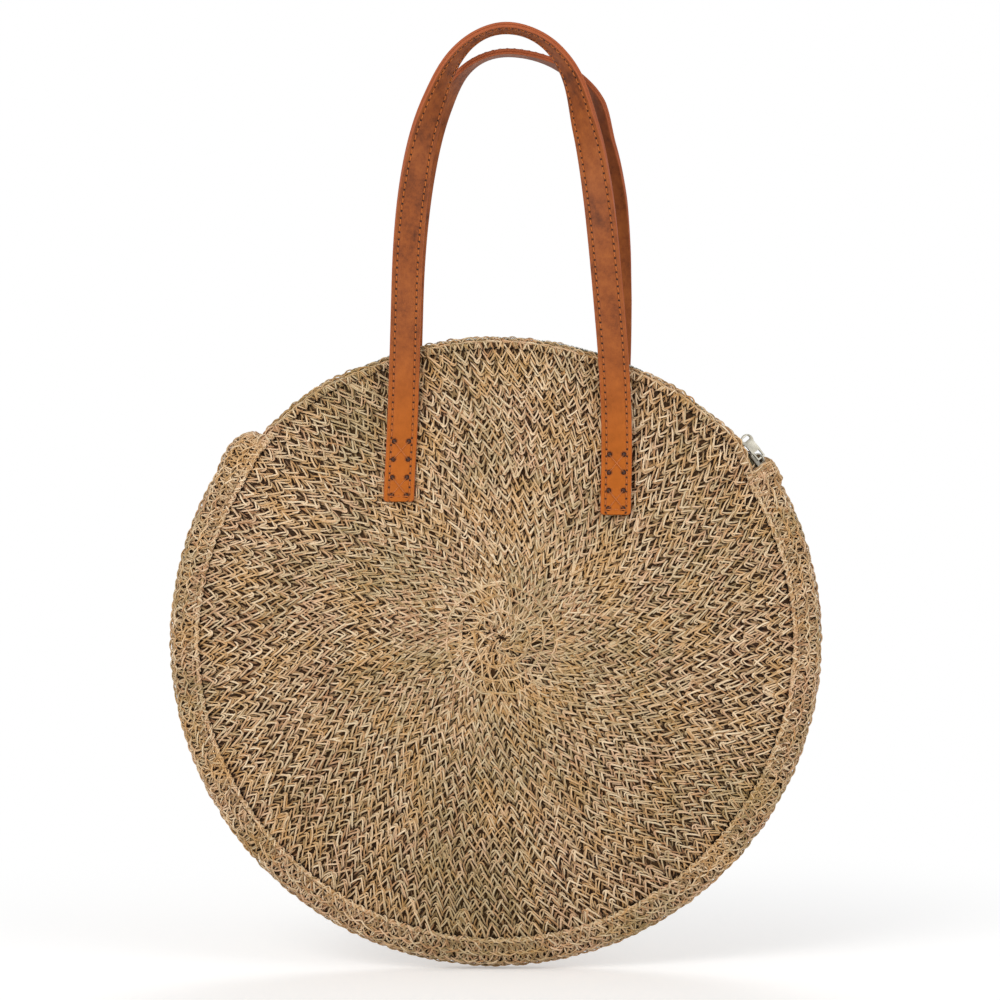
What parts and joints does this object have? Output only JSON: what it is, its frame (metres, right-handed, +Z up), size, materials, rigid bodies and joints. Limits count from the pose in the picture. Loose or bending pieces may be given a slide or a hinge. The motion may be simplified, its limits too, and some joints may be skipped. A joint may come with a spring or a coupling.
{
  "type": "round crocheted bag",
  "caption": "Round crocheted shoulder bag with two leather handles sewn to its panels and a curved zip across its mouth.",
  "frame": {"origin": "between the two handles, at the height of the underside of the front handle's arch, where a hand or a hook carries the bag", "axes": "+Z up, the front of the bag faces -Y, +X to the right as seen from the front"},
  "size_m": [0.3998, 0.069, 0.5793],
  "materials": {
    "crochet": "crocheted plant-fibre yarn, matt",
    "lining_cloth": "plain woven cloth, matt",
    "zip_tape": "woven zip tape, matt",
    "zip_teeth": "moulded, matt",
    "nickel": "worn nickel plate",
    "tan_leather": "oiled tan leather, satin",
    "backing_leather": "smooth backing leather, satin",
    "waxed_thread": "waxed thread"
  },
  "bodies": {
    "bag": {"front_panel": "crochet", "back_panel": "crochet", "gusset_band": "crochet", "front_edge_chain": "crochet", "back_edge_chain": "crochet", "front_lining": "lining_cloth", "back_lining": "lining_cloth", "gusset_lining": "lining_cloth", "zip_tape_front": "zip_tape", "zip_tape_back": "zip_tape", "zip_teeth_front": "zip_teeth", "zip_teeth_back": "zip_teeth", "top_stops": "nickel", "bottom_stop": "nickel", "front_left_strap_end": "tan_leather", "front_right_strap_end": "tan_leather", "back_left_strap_end": "tan_leather", "back_right_strap_end": "tan_leather", "front_end_backings": "backing_leather", "back_end_backings": "backing_leather", "front_anchor_threads": "waxed_thread", "back_anchor_threads": "waxed_thread"},
    "front_handle": {"front_handle_strap": "tan_leather", "front_handle_backing": "backing_leather"},
    "back_handle": {"back_handle_strap": "tan_leather", "back_handle_backing": "backing_leather"},
    "zip_slider": {"slider_body": "nickel", "slider_bail": "nickel"},
    "pull_tab": {"pull_tab": "nickel"}
  },
  "joints": [
    {"name": "front_handle_fold", "type": "hinge", "parent": "bag", "child": "front_handle", "pos_m": [0, -0.02742, -0.24257], "axis": [1, 0, 0], "range_deg": [0, 165]},
    {"name": "back_handle_fold", "type": "hinge", "parent": "bag", "child": "back_handle", "pos_m": [0, 0.02742, -0.24257], "axis": [-1, 0, 0], "range_deg": [0, 165]},
    {"name": "zip_travel", "type": "hinge", "parent": "bag", "child": "zip_slider", "pos_m": [-0.005, 0, -0.39007], "axis": [0, -1, 0], "range_deg": [0, 91], "deforming": ["zip_teeth_front", "zip_teeth_back"]},
    {"name": "pull_tab_swing", "type": "hinge", "parent": "zip_slider", "child": "pull_tab", "pos_m": [0.15583, -0.00093, -0.26078], "axis": [0.162, 0.9781, 0.1303], "range_deg": [0, 140]}
  ]
}
